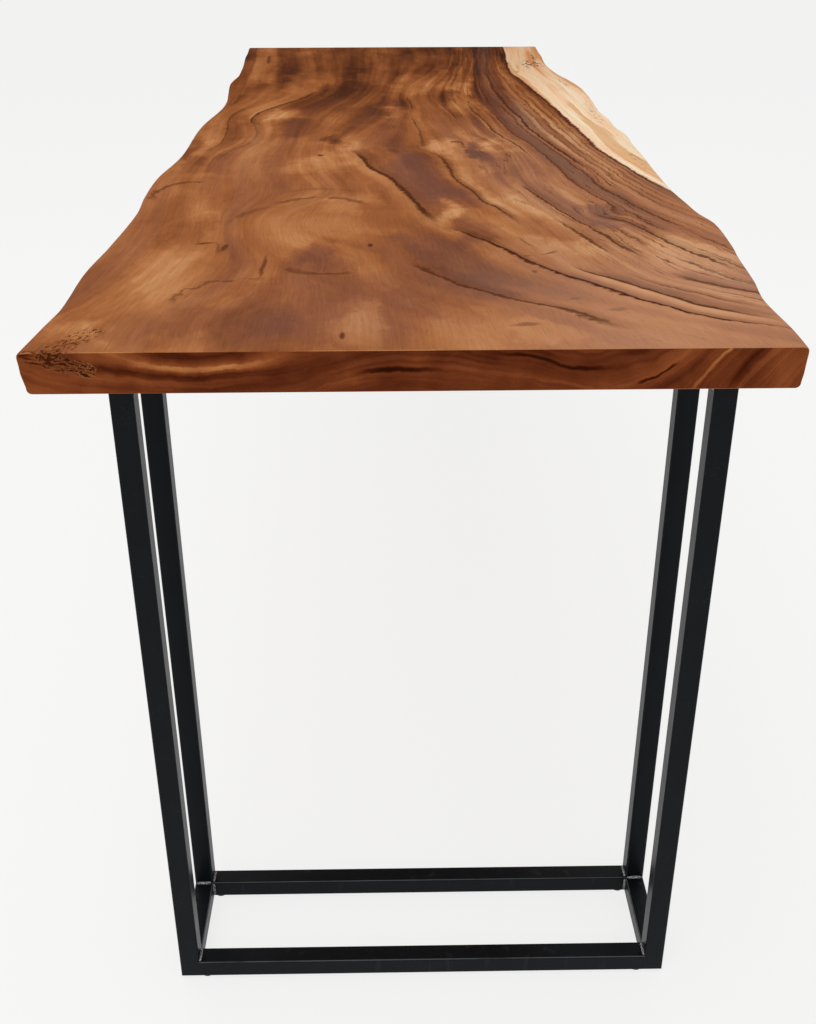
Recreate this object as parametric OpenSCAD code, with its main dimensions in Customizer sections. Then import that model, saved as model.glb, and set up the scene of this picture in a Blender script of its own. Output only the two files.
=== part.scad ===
// Bar table: a live-edge solid wood slab on two welded box-tube leg frames.
// Millimetres. +X is right, +Y runs along the table from its near end to its far end, +Z is up.
// The origin is on the floor, under the middle of the slab.

/* [Table] */
// Height of the slab's top above the floor
table_h = 1070; // [1000:5:1120]
// Length of the slab
slab_l = 3000; // [2400:10:3400]
// Width of the slab between the widest points of its two live edges
slab_w = 977; // [940:1:1100]
// Thickness of the slab
slab_t = 50; // [40:1:70]

/* [Live edges] */
// Radius of the arris along the two live edges
edge_r = 6; // [3:0.5:8]
// Radius of the arris around the two sawn ends
end_r = 2; // [1:0.5:4]
// How far the live edge faces swell between their arrises
edge_swell = 2; // [0:0.5:5]
// Steps along the slab in which the live edges are drawn
edge_steps = 60; // [40:1:70]

/* [Leg frames] */
// Outer width of a leg frame, across the table
leg_w = 760; // [640:5:800]
// Outer depth of a leg frame, along the table
leg_d = 200; // [180:5:320]
// Distance from a sawn end of the slab to the leg frame
leg_inset = 75; // [40:5:400]
// How far the leg frames stand to the right of the slab's middle
leg_shift = 19; // [0:1:30]

/* [Box tube] */
// Outside size of the square tube
tube = 30; // [28:1:40]
// Wall of the tube
tube_wall = 2; // [1.5:0.1:2.6]
// Outside corner radius of the tube
tube_r = 3; // [2.8:0.1:4]
// Radius of the weld beads
weld_r = 3; // [2:0.5:4]

/* [Mounting plates] */
// Thickness of a mounting plate
plate_t = 5; // [4:0.5:8]
// Width of a mounting plate, across the table
plate_w = 80; // [60:1:100]
// Distance between the two bolts of a plate
bolt_pitch = 90; // [60:1:100]
// Width of a bolt slot
slot_w = 9; // [8.8:0.1:10]
// End-to-end length of a bolt slot, across the grain
slot_l = 20; // [14:1:22]

/* [Bolts and slab inserts] */
// Thread diameter of the bolts
bolt_d = 8; // [7:0.5:8]
// Length of a bolt under its head
bolt_l = 25; // [18:1:26]
// Diameter of the domed bolt head
head_d = 14; // [13:0.5:16]
// Height of the domed bolt head
head_h = 4.4; // [4:0.1:5]
// Socket in the bolt head, across its flats
socket_af = 5; // [4:0.5:6]
// Depth of the socket
socket_h = 2.6; // [2:0.1:3]
// Outside diameter of a washer
washer_d = 24; // [21:1:26]
// Thickness of a washer
washer_t = 2; // [1.5:0.1:3]
// Outside diameter of a threaded insert in the slab
insert_d = 12; // [11:0.5:14]
// Length of a threaded insert in the slab
insert_l = 20; // [19:1:25]
// Depth left below a slab insert in its pocket
pocket_spare = 2; // [1:0.5:4]

/* [Levelling glides] */
// Distance from the side of the leg frame to the middle of a glide
glide_inset = 40; // [35:1:120]
// Diameter of the glide's pad
pad_d = 24; // [22:1:26]
// Height of the round foot of the pad
foot_h = 3; // [2.5:0.1:5]
// Chamfer around the foot
foot_chamfer = 0.8; // [0.4:0.1:1.5]
// Spanner collar on the pad, across its flats
collar_af = 17; // [14:0.5:18]
// Height of the spanner collar
collar_h = 2; // [1.5:0.1:4]
// Thread diameter of the glide's stud
stud_d = 8; // [7:0.5:8]
// Length of the stud above the pad
stud_l = 25; // [20:0.5:26]
// Depth of the stud in the pad
stud_seat = 3.5; // [2:0.1:3.8]
// Barrel diameter of the threaded insert in the rail
nut_d = 11; // [10:0.5:12]
// Barrel length of the threaded insert in the rail
nut_l = 14; // [10:0.5:16]
// Flange diameter of the threaded insert in the rail
flange_d = 15; // [14:0.5:18]
// Flange thickness of the threaded insert in the rail
flange_t = 1; // [0.6:0.1:1.5]

/* [Clearances] */
// Gap around a thread, on the radius
thread_gap = 0.05; // [0.02:0.01:0.1]
// Gap around a pressed or glued seat, on the radius
seat_gap = 0.05; // [0.02:0.01:0.1]
// Gap around a bolt in its washer, on the radius
washer_gap = 0.2; // [0.1:0.05:0.5]

/* [Hidden] */
$fn = 48;

LEGS = ["front", "back"];
PORTALS = ["outer", "inner"];
SIDES = ["left", "right"];

wood = "#a9662f";
black_coat = "#1d1f20";
zinc = "#b9bcbf";
black_nylon = "#26272a";

// The outline that the tree left on each side. Each point is a share of the slab's length
// from the near end, and how far the edge lies inside the slab's widest line there.
left_edge = [
    [0, 49], [0.033, 55], [0.055, 59], [0.107, 53], [0.15, 58], [0.22, 60], [0.26, 51],
    [0.31, 47], [0.36, 57], [0.39, 59], [0.467, 52], [0.5, 53], [0.573, 66], [0.617, 63],
    [0.657, 52], [0.713, 37], [0.737, 37], [0.767, 41], [0.807, 36], [0.85, 29],
    [0.917, 14], [0.953, 9], [1, 0]
];
right_edge = [
    [0, 39], [0.02, 37], [0.06, 39], [0.087, 29], [0.127, 19], [0.147, 12], [0.19, 5],
    [0.213, 15], [0.233, 18], [0.27, 22], [0.333, 18], [0.363, 14], [0.417, 10], [0.447, 5],
    [0.477, 12], [0.513, 9], [0.55, 13], [0.613, 4], [0.667, 0], [0.693, 3], [0.71, 7],
    [0.733, 14], [0.763, 26], [0.8, 33], [0.833, 36], [0.867, 33], [0.917, 24],
    [0.953, 21], [1, 14]
];
// How far the live edge face runs in under the top, at a share of the slab's length.
left_undercut = [[0, 6], [0.12, 9], [0.3, 5], [0.45, 11], [0.6, 14], [0.75, 7], [0.9, 10], [1, 8]];
right_undercut = [[0, 4], [0.1, 8], [0.2, 14], [0.3, 6], [0.45, 9], [0.55, 5], [0.7, 12], [0.85, 6], [1, 9]];

// Angles around a quarter-round arris, and shares of the depth between the two arrises, at which
// the slab's section is drawn.
arris_angles = [0 : 30 : 90];
swell_shares = [0.25 : 0.25 : 0.75];
// Across the corners of a hexagon that is 1 across its flats.
hex_corners = 1 / cos(30);

// Levels above the floor, from the floor up.
pad_h = foot_h + collar_h;
rail_z = pad_h + flange_t;
slab_z = table_h - slab_t;
leg_h = slab_z - rail_z;
plate_z = slab_z - plate_t;
washer_z = plate_z - washer_t;

// Places along and across the table.
leg_face_y = slab_l / 2 - leg_inset;
tie_l = leg_d - 2 * tube;
tie_y = leg_face_y - leg_d / 2;
clear_half_w = leg_w / 2 - tube;
flat_l = tube - 2 * tube_r;
cut_over = 1;

// The front leg stands at the near end, on the -Y side.
function end_sign(leg) = leg == "front" ? -1 : 1;
function side_sign(side) = side == "left" ? -1 : 1;
// Middle of a portal's tubes along the table: the outer portal is the one nearer the slab's end.
function portal_y(leg, portal) =
    end_sign(leg) * (leg_face_y - (portal == "outer" ? tube / 2 : leg_d - tube / 2));

// Smooth curve through a list of [share, value] points.
function slope(points, i) =
    let (a = max(i - 1, 0), b = min(i + 1, len(points) - 1))
    (points[b][1] - points[a][1]) / (points[b][0] - points[a][0]);
function span_of(points, share, i = 0) =
    i >= len(points) - 2 || share <= points[i + 1][0] ? i : span_of(points, share, i + 1);
function curve_at(points, share) =
    let (
        i = span_of(points, share),
        w = points[i + 1][0] - points[i][0],
        t = (share - points[i][0]) / w
    )
    points[i][1] * (2 * pow(t, 3) - 3 * pow(t, 2) + 1)
    + slope(points, i) * w * (pow(t, 3) - 2 * pow(t, 2) + t)
    + points[i + 1][1] * (3 * pow(t, 2) - 2 * pow(t, 3))
    + slope(points, i + 1) * w * (pow(t, 3) - pow(t, 2));

// One side of the slab's section, from the top arris to the bottom one, as [distance out, height].
// draw_in pulls the whole section in, where an end arris rounds it off.
function edge_profile(reach, undercut, draw_in) =
    let (
        top_out = reach - draw_in - edge_r,
        bottom_out = top_out - undercut,
        top_z = table_h - draw_in - edge_r,
        bottom_z = slab_z + draw_in + edge_r
    )
    concat(
        [for (a = arris_angles) [top_out + edge_r * sin(a), top_z + edge_r * cos(a)]],
        [for (s = swell_shares) [
            top_out + edge_r - undercut * s + edge_swell * sin(180 * s),
            top_z + (bottom_z - top_z) * s
        ]],
        [for (a = arris_angles) [bottom_out + edge_r * cos(a), bottom_z - edge_r * sin(a)]]
    );
function slab_section(share, y, draw_in) =
    let (
        half_w = slab_w / 2,
        right = edge_profile(
            half_w - curve_at(right_edge, share), curve_at(right_undercut, share), draw_in
        ),
        left = edge_profile(
            half_w - curve_at(left_edge, share), curve_at(left_undercut, share), draw_in
        )
    )
    concat(
        [for (p = right) [p[0], y, p[1]]],
        [for (i = [len(left) - 1 : -1 : 0]) [-left[i][0], y, left[i][1]]]
    );
// Every section as [share of the length, distance drawn in]: the two ends are rounded by their arris.
function slab_stations() = concat(
    [for (a = arris_angles) [end_r * (1 - cos(a)) / slab_l, end_r * (1 - sin(a))]],
    [for (i = [1 : edge_steps - 1]) [i / edge_steps, 0]],
    [for (a = arris_angles) [1 - end_r * (1 - sin(a)) / slab_l, end_r * (1 - cos(a))]]
);

// The slab: one board, sawn square at its ends and left as the tree grew along its sides.
module live_edge_board() {
    stations = slab_stations();
    sections = [for (s = stations) slab_section(s[0], slab_l * (s[0] - 0.5), s[1])];
    ring = len(sections[0]);
    last = len(sections) - 1;
    polyhedron(
        points = [for (section = sections) each section],
        faces = concat(
            [[for (i = [0 : ring - 1]) i]],
            [for (k = [0 : last - 1], i = [0 : ring - 1], half = [0, 1])
                let (a = k * ring + i, b = k * ring + (i + 1) % ring)
                half == 0 ? [a, a + ring, b] : [b, a + ring, b + ring]
            ],
            [[for (i = [ring - 1 : -1 : 0]) last * ring + i]]
        )
    );
}

module live_edge_slab() {
    color(wood) difference() {
        live_edge_board();
        for (leg = LEGS) {
            at_bolts(leg) translate([0, 0, slab_z - cut_over])
                cylinder(d = insert_d + 2 * seat_gap, h = insert_l + pocket_spare + cut_over);
        }
    }
}

// Puts its children on the axis of each of a leg's bolts.
module at_bolts(leg) {
    for (side = SIDES, along = [-1, 1]) {
        translate([
            leg_shift + side_sign(side) * (clear_half_w - plate_w / 2),
            end_sign(leg) * tie_y + along * bolt_pitch / 2,
            0
        ]) children();
    }
}

// A square with round corners, made of exact arcs.
module rounded_square(size, r) {
    square([size, size - 2 * r], center = true);
    square([size - 2 * r, size], center = true);
    for (x = [-1, 1], y = [-1, 1]) {
        translate([x * (size / 2 - r), y * (size / 2 - r)]) circle(r = r);
    }
}

// Box tube along X, centred on the origin.
module box_tube(length) {
    rotate([90, 0, 90]) linear_extrude(length, center = true) difference() {
        rounded_square(tube, tube_r);
        rounded_square(tube - 2 * tube_wall, tube_r - tube_wall);
    }
}

// Tube mitred at both ends, with its long side down on the XY plane.
module mitred_tube(length) {
    intersection() {
        translate([0, 0, tube / 2]) box_tube(length);
        rotate([90, 0, 0]) linear_extrude(tube, center = true) polygon([
            [-length / 2, 0], [length / 2, 0], [length / 2 - tube, tube], [tube - length / 2, tube]
        ]);
    }
}

// Puts its children in the middle of a portal's window.
module in_portal(leg, portal) {
    translate([leg_shift, portal_y(leg, portal), rail_z + leg_h / 2]) children();
}

// The rail that a portal stands on, drilled underneath for its two glides.
module base_rail(leg, portal) {
    color(black_coat) difference() {
        in_portal(leg, portal) translate([0, 0, -leg_h / 2]) mitred_tube(leg_w);
        for (side = SIDES) {
            at_glide(leg, portal, side) translate([0, 0, rail_z - cut_over])
                cylinder(d = nut_d + 2 * seat_gap, h = tube_wall + 2 * cut_over);
        }
    }
}

module top_rail(leg, portal) {
    color(black_coat) in_portal(leg, portal)
        rotate([0, 180, 0]) translate([0, 0, -leg_h / 2]) mitred_tube(leg_w);
}

module post(leg, portal, side) {
    color(black_coat) in_portal(leg, portal)
        rotate([0, -90 * side_sign(side), 0]) translate([0, 0, -leg_w / 2]) mitred_tube(leg_h);
}

// A short tube that ties the outer portal to the inner one, flush with their sides.
module tie(leg, side, z) {
    color(black_coat)
        translate([
            leg_shift + side_sign(side) * (leg_w - tube) / 2,
            end_sign(leg) * tie_y,
            z + tube / 2
        ]) rotate([0, 0, 90]) box_tube(tie_l);
}

module base_tie(leg, side) {
    tie(leg, side, rail_z);
}

module top_tie(leg, side) {
    tie(leg, side, slab_z - tube);
}

// A slot along X with round ends.
module slot(length, width) {
    square([length - width, width], center = true);
    for (x = [-1, 1]) {
        translate([x * (length - width) / 2, 0]) circle(d = width);
    }
}

// A steel plate welded between the top rails. Its slots let the wood move across the grain.
module mounting_plate(leg, side) {
    color(black_coat) translate([
        leg_shift + side_sign(side) * (clear_half_w - plate_w / 2),
        end_sign(leg) * tie_y,
        plate_z
    ]) linear_extrude(plate_t) difference() {
        square([plate_w, tie_l], center = true);
        for (along = [-1, 1]) {
            translate([0, along * bolt_pitch / 2]) slot(slot_l, slot_w);
        }
    }
}

// A button-head bolt that points up, with the underside of its head on the XY plane.
module button_bolt() {
    dome_r = (pow(head_d / 2, 2) + pow(head_h, 2)) / (2 * head_h);
    difference() {
        intersection() {
            translate([0, 0, dome_r - head_h]) sphere(r = dome_r);
            translate([0, 0, -head_h]) cylinder(d = head_d, h = head_h);
        }
        translate([0, 0, -head_h - cut_over])
            cylinder(d = socket_af * hex_corners, h = socket_h + cut_over, $fn = 6);
    }
    cylinder(d = bolt_d, h = bolt_l);
}

module slab_bolts(leg) {
    color(zinc) at_bolts(leg) translate([0, 0, washer_z]) button_bolt();
}

module bolt_washers(leg) {
    color(zinc) at_bolts(leg) translate([0, 0, washer_z]) linear_extrude(washer_t) difference() {
        circle(d = washer_d);
        circle(d = bolt_d + 2 * washer_gap);
    }
}

module slab_inserts(leg) {
    color(zinc) at_bolts(leg) translate([0, 0, slab_z]) linear_extrude(insert_l) difference() {
        circle(d = insert_d);
        circle(d = bolt_d + 2 * thread_gap);
    }
}

// A bead along Y in an inside corner. It fills the quarter that points to +X and +Z.
module weld_bead(length) {
    intersection() {
        rotate([90, 0, 0]) cylinder(r = weld_r, h = length, center = true);
        translate([0, -length / 2, 0]) cube([weld_r + cut_over, length, weld_r + cut_over]);
    }
}

// The bead across a base tie's upper face, where its end meets a portal.
module tie_top_bead() {
    translate([(tube - leg_w) / 2, -tie_l / 2, tube - leg_h / 2])
        rotate([0, 0, 90]) mirror([0, 1, 0]) weld_bead(flat_l);
}

// The bead down a base tie's inner face, at the same end.
module tie_side_bead() {
    translate([-clear_half_w, -tie_l / 2, (tube - leg_h) / 2])
        rotate([90, 0, 0]) mirror([0, 0, 1]) weld_bead(flat_l);
}

// The bead under a mounting plate, along the edge that meets a top rail.
module plate_bead() {
    translate([plate_w / 2 - clear_half_w, -tie_l / 2, 0])
        rotate([0, 90, 90]) weld_bead(plate_w - 2 * tube_r);
}

// Mirrors its children across each plane whose sign is negative.
module flipped(x, y, z) {
    mirror([x < 0 ? 1 : 0, 0, 0]) mirror([0, y < 0 ? 1 : 0, 0]) mirror([0, 0, z < 0 ? 1 : 0])
        children();
}

// Every bead of one leg: the mitres' inside corners, the ends of the ties and the plates' edges.
module weld_beads(leg) {
    color(black_coat) {
        for (x = [-1, 1], z = [-1, 1], portal = PORTALS) {
            in_portal(leg, portal) flipped(x, 1, z)
                translate([-clear_half_w, 0, tube - leg_h / 2]) weld_bead(flat_l);
        }
        for (x = [-1, 1], y = [-1, 1]) {
            translate([leg_shift, end_sign(leg) * tie_y, rail_z + leg_h / 2]) {
                flipped(x, y, 1) tie_top_bead();
                flipped(x, y, -1) tie_top_bead();
                flipped(x, y, 1) tie_side_bead();
            }
            translate([leg_shift, end_sign(leg) * tie_y, plate_z]) flipped(x, y, 1) plate_bead();
        }
    }
}

// Puts its children on the axis of one glide.
module at_glide(leg, portal, side) {
    translate([
        leg_shift + side_sign(side) * (leg_w / 2 - glide_inset),
        portal_y(leg, portal),
        0
    ]) children();
}

// The threaded inserts under a leg's rails, with their flanges against the tube.
module glide_inserts(leg) {
    color(zinc) for (portal = PORTALS, side = SIDES) {
        at_glide(leg, portal, side) difference() {
            union() {
                translate([0, 0, pad_h]) cylinder(d = flange_d, h = flange_t);
                translate([0, 0, rail_z]) cylinder(d = nut_d, h = nut_l);
            }
            translate([0, 0, pad_h - cut_over])
                cylinder(d = stud_d + 2 * thread_gap, h = flange_t + nut_l + 2 * cut_over);
        }
    }
}

// A nylon foot with a spanner collar, moulded around its stud.
module glide_pad(leg, portal, side) {
    color(black_nylon) at_glide(leg, portal, side) difference() {
        union() {
            rotate_extrude() polygon([
                [0, 0], [pad_d / 2 - foot_chamfer, 0], [pad_d / 2, foot_chamfer],
                [pad_d / 2, foot_h], [0, foot_h]
            ]);
            cylinder(d = collar_af * hex_corners, h = pad_h, $fn = 6);
        }
        translate([0, 0, pad_h - stud_seat]) cylinder(d = stud_d + 2 * seat_gap, h = stud_seat + cut_over);
    }
}

module glide_stud(leg, portal, side) {
    color(zinc) at_glide(leg, portal, side) translate([0, 0, pad_h - stud_seat])
        cylinder(d = stud_d, h = stud_seat + stud_l);
}

live_edge_slab();
for (leg = LEGS) {
    weld_beads(leg);
    slab_bolts(leg);
    bolt_washers(leg);
    slab_inserts(leg);
    glide_inserts(leg);
    for (portal = PORTALS) {
        base_rail(leg, portal);
        top_rail(leg, portal);
    }
    for (side = SIDES) {
        base_tie(leg, side);
        top_tie(leg, side);
        mounting_plate(leg, side);
    }
    for (portal = PORTALS, side = SIDES) {
        post(leg, portal, side);
        glide_pad(leg, portal, side);
        glide_stud(leg, portal, side);
    }
}
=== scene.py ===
import math

import bmesh
import bpy
from mathutils import Matrix, Vector, noise


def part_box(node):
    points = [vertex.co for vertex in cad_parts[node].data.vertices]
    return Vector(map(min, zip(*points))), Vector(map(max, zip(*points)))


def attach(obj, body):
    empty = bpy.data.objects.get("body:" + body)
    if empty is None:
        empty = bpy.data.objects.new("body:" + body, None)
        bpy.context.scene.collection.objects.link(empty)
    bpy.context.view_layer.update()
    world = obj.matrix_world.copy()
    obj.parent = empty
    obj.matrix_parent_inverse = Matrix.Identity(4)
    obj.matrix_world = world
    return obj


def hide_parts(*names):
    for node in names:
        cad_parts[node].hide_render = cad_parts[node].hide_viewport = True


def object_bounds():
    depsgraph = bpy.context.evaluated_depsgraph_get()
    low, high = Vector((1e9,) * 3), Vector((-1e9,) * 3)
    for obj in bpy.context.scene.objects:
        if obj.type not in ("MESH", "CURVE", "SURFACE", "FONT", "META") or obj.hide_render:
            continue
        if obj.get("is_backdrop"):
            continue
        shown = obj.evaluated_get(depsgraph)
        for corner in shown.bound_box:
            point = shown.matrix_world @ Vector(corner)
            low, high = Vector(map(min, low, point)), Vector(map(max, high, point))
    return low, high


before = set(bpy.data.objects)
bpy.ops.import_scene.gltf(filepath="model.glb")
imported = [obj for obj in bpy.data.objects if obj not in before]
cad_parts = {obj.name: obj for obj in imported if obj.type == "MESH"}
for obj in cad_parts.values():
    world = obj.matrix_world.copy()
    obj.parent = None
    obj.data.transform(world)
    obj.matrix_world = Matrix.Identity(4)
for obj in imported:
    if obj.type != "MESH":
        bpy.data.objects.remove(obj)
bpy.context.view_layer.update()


# The view: a standing person's look along the table from its near end, down onto the top.
# A normal lens, turned a hair to the right and rolled a sixth of a degree.
eye = Vector((-0.0204, -2.763, 1.5198))
look_down = math.radians(27.351)
look_aside = math.radians(-0.8087)
roll = math.radians(0.1748)
lens_data = bpy.data.cameras.new("standing_view")
lens_data.lens = 41.86


def stand(name, data):
    """An object in the scene, by its name and what it shows."""
    made = bpy.data.objects.new(name, data)
    bpy.context.scene.collection.objects.link(made)
    return made


camera = stand("standing_view", lens_data)
turn = Matrix.Rotation(look_aside, 4, "Z") @ Matrix.Rotation(math.pi / 2 - look_down, 4, "X")
camera.matrix_world = Matrix.Translation(eye) @ turn @ Matrix.Rotation(-roll, 4, "Z")
bpy.context.scene.camera = camera
bpy.context.scene.view_settings.view_transform = "Standard"


# The studio: a pale floor that keeps the table's shadow, soft light from all round,
# and one broad lamp overhead. White beyond the floor is for the eye and for reflections only.
def shade(red, green, blue):
    """A colour as it is seen, in steps of 0 to 255, as the linear colour that the shader works in."""
    seen = [step / 255 for step in (red, green, blue)]
    return [s / 12.92 if s <= 0.04045 else ((s + 0.055) / 1.055) ** 2.4 for s in seen] + [1]


class Recipe:
    """A node tree in the making. Each call adds a node or two and gives back what they put out."""

    def __init__(self, tree):
        self.tree = tree

    def put(self, kind, feeds=None, **settings):
        """One node. Each feed is an input's name or number, and a value or a socket."""
        made = self.tree.nodes.new(kind)
        for setting, value in settings.items():
            setattr(made, setting, value)
        for key, value in (feeds or {}).items():
            if isinstance(value, bpy.types.NodeSocket):
                self.tree.links.new(value, made.inputs[key])
            else:
                made.inputs[key].default_value = value
        return made.outputs

    def work(self, operation, *values):
        return self.put("ShaderNodeMath", dict(enumerate(values)), operation=operation)[0]

    def plus(self, value, other):
        return self.work("ADD", value, other)

    def minus(self, value, other):
        return self.work("SUBTRACT", value, other)

    def times(self, value, *others):
        for other in others:
            value = self.work("MULTIPLY", value, other)
        return value

    def larger(self, value, other):
        return self.work("MAXIMUM", value, other)

    def scaled(self, value, scale, start):
        """The value times the scale, from a start."""
        return self.work("MULTIPLY_ADD", value, scale, start)

    def gap(self, value, other):
        return self.work("ABSOLUTE", self.minus(value, other))

    def swung(self, wave, reach, middle):
        """The middle value, pushed up and down by a noise that swings round one half."""
        return self.scaled(self.minus(wave, 0.5), reach, middle)

    def smooth(self, value, start, stop):
        """0 at start and 1 at stop, with a soft step between them."""
        feeds = {"Value": value, "From Min": start, "From Max": stop}
        return self.put("ShaderNodeMapRange", feeds, interpolation_type="SMOOTHSTEP", clamp=False)[0]

    def vectors(self, operation, *values):
        return self.put("ShaderNodeVectorMath", dict(enumerate(values)), operation=operation)

    def parts(self, vector):
        return self.put("ShaderNodeSeparateXYZ", {0: vector})

    def whole(self, x, y, z):
        return self.put("ShaderNodeCombineXYZ", {0: x, 1: y, 2: z})[0]

    def noise(self, place, scale, detail, rough=0.5):
        """A noise as one value, and as a colour of three."""
        feeds = {"Vector": place, "Scale": scale, "Detail": detail, "Roughness": rough}
        return self.put("ShaderNodeTexNoise", feeds)

    def blend(self, kind, amount, under, over):
        """Two colours mixed by an amount from 0 to 1."""
        feeds = {0: amount, 6: under, 7: over}
        return self.put("ShaderNodeMix", feeds, data_type="RGBA", blend_type=kind, clamp_factor=True)[2]

    def tint(self, amount, under, *seen):
        """A colour with an amount of another over it, which is given as it is seen."""
        return self.blend("MIX", amount, under, shade(*seen))

    def between(self, shares, on, plain, bright):
        """The surface's own shader and a bright one, mixed by shares, on the tree's output."""
        mixed = self.put("ShaderNodeMixShader", {0: shares, 1: plain[0], 2: bright[0]})
        self.put(on, {0: mixed[0]})


ambient = 0.5
pure_white = (1, 1, 1, 1)
room = bpy.data.worlds.new("white_room")
bpy.context.scene.world = room
room.use_nodes = True
room.node_tree.nodes.clear()
air = Recipe(room.node_tree)
ways = air.put("ShaderNodeLightPath")
looked_at = air.larger(ways["Is Camera Ray"], ways["Is Glossy Ray"])
looked_at = air.larger(looked_at, ways["Is Transmission Ray"])
soft_light = air.put("ShaderNodeBackground", {"Color": shade(255, 253, 250), "Strength": ambient})
white = air.put("ShaderNodeBackground", {"Color": pure_white, "Strength": 1})
air.between(looked_at, "ShaderNodeOutputWorld", soft_light, white)


def settle(mesh, name):
    """The mesh data that a finished bmesh turns into. The bmesh itself is freed."""
    data = bpy.data.meshes.new(name)
    mesh.to_mesh(data)
    mesh.free()
    return data


floor_reach = 40
floor_lift = 0.8  # how much of the floor's own look is white to the eye, over its shadow
floor_mesh = bmesh.new()
bmesh.ops.create_grid(floor_mesh, x_segments=1, y_segments=1, size=floor_reach)
floor = stand("floor", settle(floor_mesh, "floor"))
floor_finish = bpy.data.materials.new("pale_floor")
floor_finish.use_nodes = True
floor_finish.node_tree.nodes.clear()
paint = Recipe(floor_finish.node_tree)
ways = paint.put("ShaderNodeLightPath")
lifted = paint.times(paint.larger(ways["Is Camera Ray"], ways["Is Glossy Ray"]), floor_lift)
plain = paint.put("ShaderNodeBsdfDiffuse", {"Color": shade(243, 243, 242)})
glow = paint.put("ShaderNodeEmission", {"Color": pure_white, "Strength": 1})
paint.between(lifted, "ShaderNodeOutputMaterial", plain, glow)
floor.data.materials.append(floor_finish)
floor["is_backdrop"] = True


def lamp(name, place, target, across, high, watts):
    """A soft box, so wide and so high, that looks from its place at a target."""
    data = bpy.data.lights.new(name, "AREA")
    data.shape = "RECTANGLE"
    data.size = across
    data.size_y = high
    data.energy = watts
    made = stand(name, data)
    made.location = place
    made.rotation_mode = "QUATERNION"
    made.rotation_quaternion = (Vector(target) - Vector(place)).to_track_quat("-Z", "Y")


lamp("overhead", (-0.8, -0.6, 5), (0, 0, 1), 4, 4, 85)
lamp("front_strip", (-1.2, -5.5, 2.6), (0, -1.4, 0.8), 2.6, 0.35, 22)


# The slab: one through-sawn board of tropical hardwood, 3 m long and 50 mm thick, with both
# natural edges kept. The bark side is cleaned and eased, the ends are sawn square, and the
# underside has a bored pocket for each threaded insert.
slab_low, slab_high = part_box("live_edge_slab")
slab_length = slab_high.y - slab_low.y
slab_top = slab_high.z
slab_thick = slab_high.z - slab_low.z
widest = 0.977
arris = 0.006
end_arris = 0.002
swell = 0.002
ripple_height = 0.0016
kept_inside = 0.0002
# How far each edge lies inside the widest line, against the share of the length from the near end.
left_edge = [
    (0, 0.049), (0.033, 0.055), (0.055, 0.059), (0.107, 0.053), (0.15, 0.058), (0.22, 0.060),
    (0.26, 0.051), (0.31, 0.047), (0.36, 0.057), (0.39, 0.059), (0.467, 0.052), (0.5, 0.053),
    (0.573, 0.066), (0.617, 0.063), (0.657, 0.052), (0.713, 0.037), (0.737, 0.037), (0.767, 0.041),
    (0.807, 0.036), (0.85, 0.029), (0.917, 0.014), (0.953, 0.009), (1, 0),
]
right_edge = [
    (0, 0.039), (0.02, 0.037), (0.06, 0.039), (0.087, 0.029), (0.127, 0.019), (0.147, 0.012),
    (0.19, 0.005), (0.213, 0.015), (0.233, 0.018), (0.27, 0.022), (0.333, 0.018), (0.363, 0.014),
    (0.417, 0.010), (0.447, 0.005), (0.477, 0.012), (0.513, 0.009), (0.55, 0.013), (0.613, 0.004),
    (0.667, 0), (0.693, 0.003), (0.71, 0.007), (0.733, 0.014), (0.763, 0.026), (0.8, 0.033),
    (0.833, 0.036), (0.867, 0.033), (0.917, 0.024), (0.953, 0.021), (1, 0.014),
]
left_undercut = [
    (0, 0.006), (0.12, 0.009), (0.3, 0.005), (0.45, 0.011), (0.6, 0.014), (0.75, 0.007),
    (0.9, 0.010), (1, 0.008),
]
right_undercut = [
    (0, 0.004), (0.1, 0.008), (0.2, 0.014), (0.3, 0.006), (0.45, 0.009), (0.55, 0.005),
    (0.7, 0.012), (0.85, 0.006), (1, 0.009),
]


def fair(points, share):
    """A fair curve through the points, read at one share of the length."""
    last = len(points) - 1
    i = max(k for k in range(last) if k == 0 or points[k][0] < share)
    (start, low), (stop, high) = points[i], points[i + 1]
    slopes = []
    for k in (i, i + 1):
        before, after = points[max(k - 1, 0)], points[min(k + 1, last)]
        slopes.append((after[1] - before[1]) / (after[0] - before[0]) * (stop - start))
    t = (share - start) / (stop - start)
    return (
        low * (2 * t**3 - 3 * t**2 + 1)
        + slopes[0] * (t**3 - 2 * t**2 + t)
        + high * (3 * t**2 - 2 * t**3)
        + slopes[1] * (t**3 - t**2)
    )


ripples = (  # waves a metre along the edge, waves a metre down it, strength, and a shift of the seed
    (9, 30, 1, 0),
    (26, 60, 0.5, 7),
)


def edge_reach(edge, undercut, share, depth, seed):
    """How far a natural edge stands out from the middle line at a share of the length and a depth."""
    down = min(max((depth - arris) / (slab_thick - 2 * arris), 0), 1)
    cut = fair(undercut, share) * down - swell * math.sin(math.pi * down)
    along = share * slab_length
    ripple = sum(
        strength * noise.noise(Vector((along * in_length, depth * in_depth, seed + shift)))
        for in_length, in_depth, strength, shift in ripples
    )
    worn = ripple_height * min(max(ripple + 0.6, 0), 2) * math.sin(math.pi * down)
    return widest / 2 - fair(edge, share) - cut - worn - kept_inside


def round_over(mesh, rims, radius, segments):
    """Rounds over the edges of a mesh, as a router does."""
    bmesh.ops.bevel(
        mesh, geom=rims, offset=radius, segments=segments, profile=0.5, affect="EDGES", material=-1
    )


def join(mesh, name, finish, body="table"):
    """Makes a piece of a finished bmesh, with its material, on the body that carries it."""
    piece = stand(name, settle(mesh, name))
    piece.data.materials.append(finish)
    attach(piece, body)
    return piece


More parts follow.
